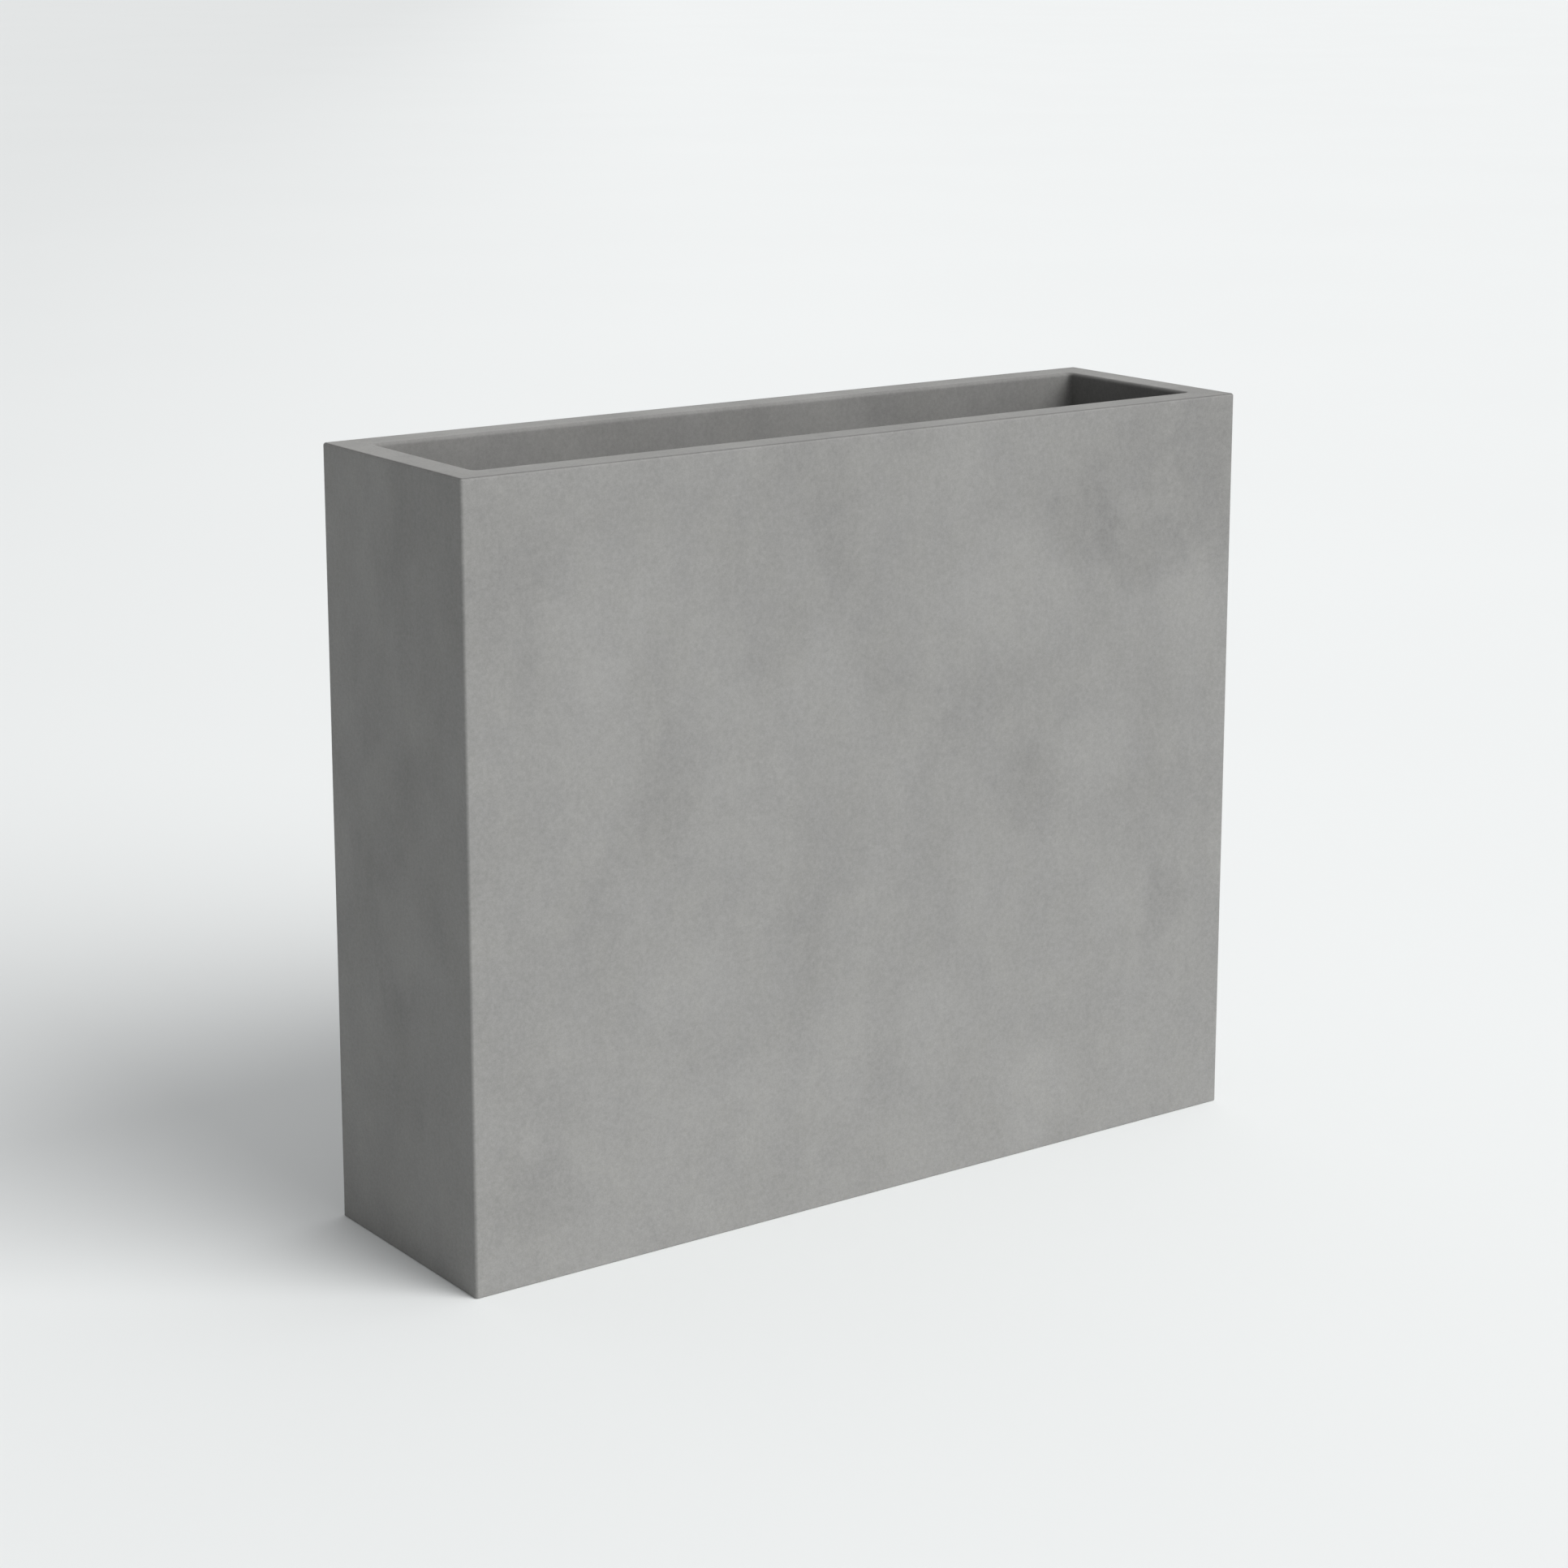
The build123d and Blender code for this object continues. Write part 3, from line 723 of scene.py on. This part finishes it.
def handle_mesh(side):
    """A wire bail: pins in the brackets' bores, and a leg at each end of the grip."""
    low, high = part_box("handle_" + side)
    x, pivot, grip = (low.x + high.x) / 2, high.z - WIRE, low.z + WIRE
    pin_end = high.y - DOME * WIRE
    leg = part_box("handle_brackets")[1].y - BRACKET_WIDTH - BRACKET_GAP - BEND
    corners = [Vector((x, y, z)) for y, z in ((-pin_end, pivot), (-leg, pivot), (-leg, grip),
                                              (leg, grip), (leg, pivot), (pin_end, pivot))]
    return smooth_mesh("wire_" + side, tube(rounded_route(corners, BEND), WIRE), 50)


for side in ("left", "right"):
    node = "handle_" + side
    add("lifting_handle_" + side, handle_mesh(side), node, handle_steel, [node])


def plug_body(x, bottom, flange_low, flange_top):
    """The turned part: a tapered end, a neck in the insert's hole, and a flange with a ring on top."""
    neck = PLUG_RADIUS - PLUG_GAP
    profile = [(bottom, 0.0102), (bottom + 0.0006, 0.0110), (bottom + 0.0016, neck),
               (bottom + 0.0040, neck), (flange_low, neck), (flange_low, 0.0150),
               (flange_low + 0.0003, 0.0158), (flange_low + 0.0012, 0.0160),
               (flange_top - 0.0014, 0.0160), (flange_top - 0.0005, 0.0156), (flange_top, 0.0148),
               (flange_top, 0.0125), (flange_top - 0.0007, 0.0118), (flange_top - 0.0007, 0.0108),
               (flange_top, 0.0101)]
    bm = bmesh.new()
    turned(bm, Vector((x, 0, 0)), Vector((0, 0, 1)), profile, around=48)
    return plain_mesh("plug_body", bm)


def plug_tab(x, base, reach):
    """The pull tab: an arch with eased edges, which runs a little into the flange."""
    half, thick, corner, ease_width, root = 0.009, 0.0025, 0.004, 0.0007, 0.001
    outline = [(half, -root), (half, reach - corner)]
    for degrees in range(15, 91, 15):
        angle = math.radians(degrees)
        outline.append((half - corner + corner * math.cos(angle), reach - corner + corner * math.sin(angle)))
    outline += [(-across, up) for across, up in reversed(outline)]
    bm = bmesh.new()
    loops = []
    for y, ease in ((-thick, ease_width), (-thick + ease_width, 0.0), (thick - ease_width, 0.0),
                    (thick, ease_width)):
        loop = []
        for across, up in outline:
            eased_up = up * (1 - ease / reach) if up > 0 else up
            loop.append(bm.verts.new((x + across * (1 - ease / half), y, base + eased_up)))
        loops.append(loop)
    bridge(bm, loops)
    return plain_mesh("plug_tab", bm)


def plug_mesh(low, high):
    """A turned rubber plug and its pull tab with a hole."""
    x = (low.x + high.x) / 2
    flange_thick, hole_radius = 0.004, 0.003
    flange_low = LINER_BOTTOM + LINER_FLOOR
    flange_top = flange_low + flange_thick
    reach = high.z - flange_top
    bm = bmesh.new()
    hole = Matrix.Translation((x, 0, flange_top + reach / 2)) @ Matrix.Rotation(math.pi / 2, 4, "X")
    bmesh.ops.create_cone(bm, cap_ends=True, segments=32, radius1=hole_radius, radius2=hole_radius,
                          depth=0.02, matrix=hole)
    drill = plain_mesh("plug_hole", bm, outwards=False)
    whole = cut(plug_body(x, low.z, flange_low, flange_top), plug_tab(x, flange_top, reach), "UNION")
    mesh = cut(whole, drill)
    shade(mesh)
    return mesh


for side in ("left", "right"):
    node = "drain_plug_" + side
    add("plug_" + side, plug_mesh(*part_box(node)), node, plug_rubber, [node])


# ---------------------------------------------------------------- floor, light and camera
def stage_floor():
    """A pale paper floor, a little darker on the side away from the light."""
    bm = bmesh.new()
    bmesh.ops.create_circle(bm, cap_ends=True, segments=128, radius=120)
    mesh = smooth_mesh("floor", bm)
    floor = bpy.data.objects.new("floor", mesh)
    bpy.context.scene.collection.objects.link(floor)
    n = Nodes("floor_paper")
    soft = n.noise(0.8, 2, 0.5)
    gain = n.math("MULTIPLY_ADD", n.centred(soft), 0.02, 1.0)
    x, y, _ = n.xyz(n.place)
    from_light = n.math("MULTIPLY_ADD", x, 0.84, n.math("MULTIPLY", y, -0.54))
    gain = n.math("MULTIPLY", gain, n.span(from_light, -3.2, 0.6, 0.87, 1.0))
    mesh.materials.append(n.set(Base_Color=n.brighten((0.855, 0.875, 0.88, 1), gain), Roughness=1.0,
                                Specular_IOR_Level=0.0))


def studio_world():
    """Light from all round: brightest low down and at the right, and more even overhead."""
    world = bpy.data.worlds.new("studio")
    bpy.context.scene.world = world
    world.use_nodes = True
    nodes, links = world.node_tree.nodes, world.node_tree.links
    light = nodes["Background"]
    light.inputs["Color"].default_value = (1.0, 1.0, 1.0, 1.0)
    direction = nodes.new("ShaderNodeSeparateXYZ")
    links.new(nodes.new("ShaderNodeTexCoord").outputs["Generated"], direction.inputs[0])
    by_height = nodes.new("ShaderNodeMapRange")
    by_height.interpolation_type = "SMOOTHSTEP"
    lean = nodes.new("ShaderNodeMapRange")  # how much brighter the right is than the left
    for ramp, numbers in ((by_height, (0.16, 0.55, 0.80, 0.50)), (lean, (0.2, 0.9, 0.94, 0.12))):
        for number, socket in zip(numbers, ramp.inputs[1:]):
            socket.default_value = number
        links.new(direction.outputs["Z"], ramp.inputs[0])
    sideways = nodes.new("ShaderNodeMath")
    sideways.operation = "MULTIPLY_ADD"
    sideways.inputs[2].default_value = 1.0
    links.new(direction.outputs["X"], sideways.inputs[0])
    links.new(lean.outputs[0], sideways.inputs[1])
    strength = nodes.new("ShaderNodeMath")
    strength.operation = "MULTIPLY"
    links.new(by_height.outputs[0], strength.inputs[0])
    links.new(sideways.outputs[0], strength.inputs[1])
    links.new(strength.outputs[0], light.inputs["Strength"])

    # beyond the floor's edge the eye sees plain pale paper, whatever lights the scene
    paper = nodes.new("ShaderNodeBackground")
    paper.inputs["Color"].default_value = (0.765, 0.79, 0.795, 1.0)
    chosen = nodes.new("ShaderNodeMixShader")
    links.new(nodes.new("ShaderNodeLightPath").outputs["Is Camera Ray"], chosen.inputs[0])
    links.new(light.outputs[0], chosen.inputs[1])
    links.new(paper.outputs[0], chosen.inputs[2])
    links.new(chosen.outputs[0], nodes["World Output"].inputs["Surface"])


def key_light():
    """One broad soft light from the front, right and above."""
    key = bpy.data.lights.new("key", "SUN")
    key.energy, key.angle = 2.55, math.radians(46)
    key.color = (1.0, 0.995, 0.985)
    lamp = bpy.data.objects.new("key", key)
    bpy.context.scene.collection.objects.link(lamp)
    towards_key = Vector((0.36, -0.71, 0.605))
    lamp.rotation_mode = "QUATERNION"
    lamp.rotation_quaternion = towards_key.to_track_quat("Z", "Y")


def place_camera():
    """A long lens at the front left, a little above the rim, with a small downward shift."""
    data = bpy.data.cameras.new("camera")
    data.lens, data.sensor_width = 78.26, 36.0
    data.shift_y = -0.11
    data.clip_start, data.clip_end = 0.05, 400
    camera = bpy.data.objects.new("camera", data)
    bpy.context.scene.collection.objects.link(camera)
    camera.location = (-1.9041, -2.6309, 1.2310)
    pitch, yaw = math.radians(11.70), math.radians(35.62)
    forward = Vector((math.sin(yaw) * math.cos(pitch), math.cos(yaw) * math.cos(pitch), -math.sin(pitch)))
    camera.rotation_mode = "QUATERNION"
    camera.rotation_quaternion = forward.to_track_quat("-Z", "Y")
    bpy.context.scene.camera = camera


stage_floor()
studio_world()
key_light()
bpy.context.scene.view_settings.view_transform = "Standard"
place_camera()
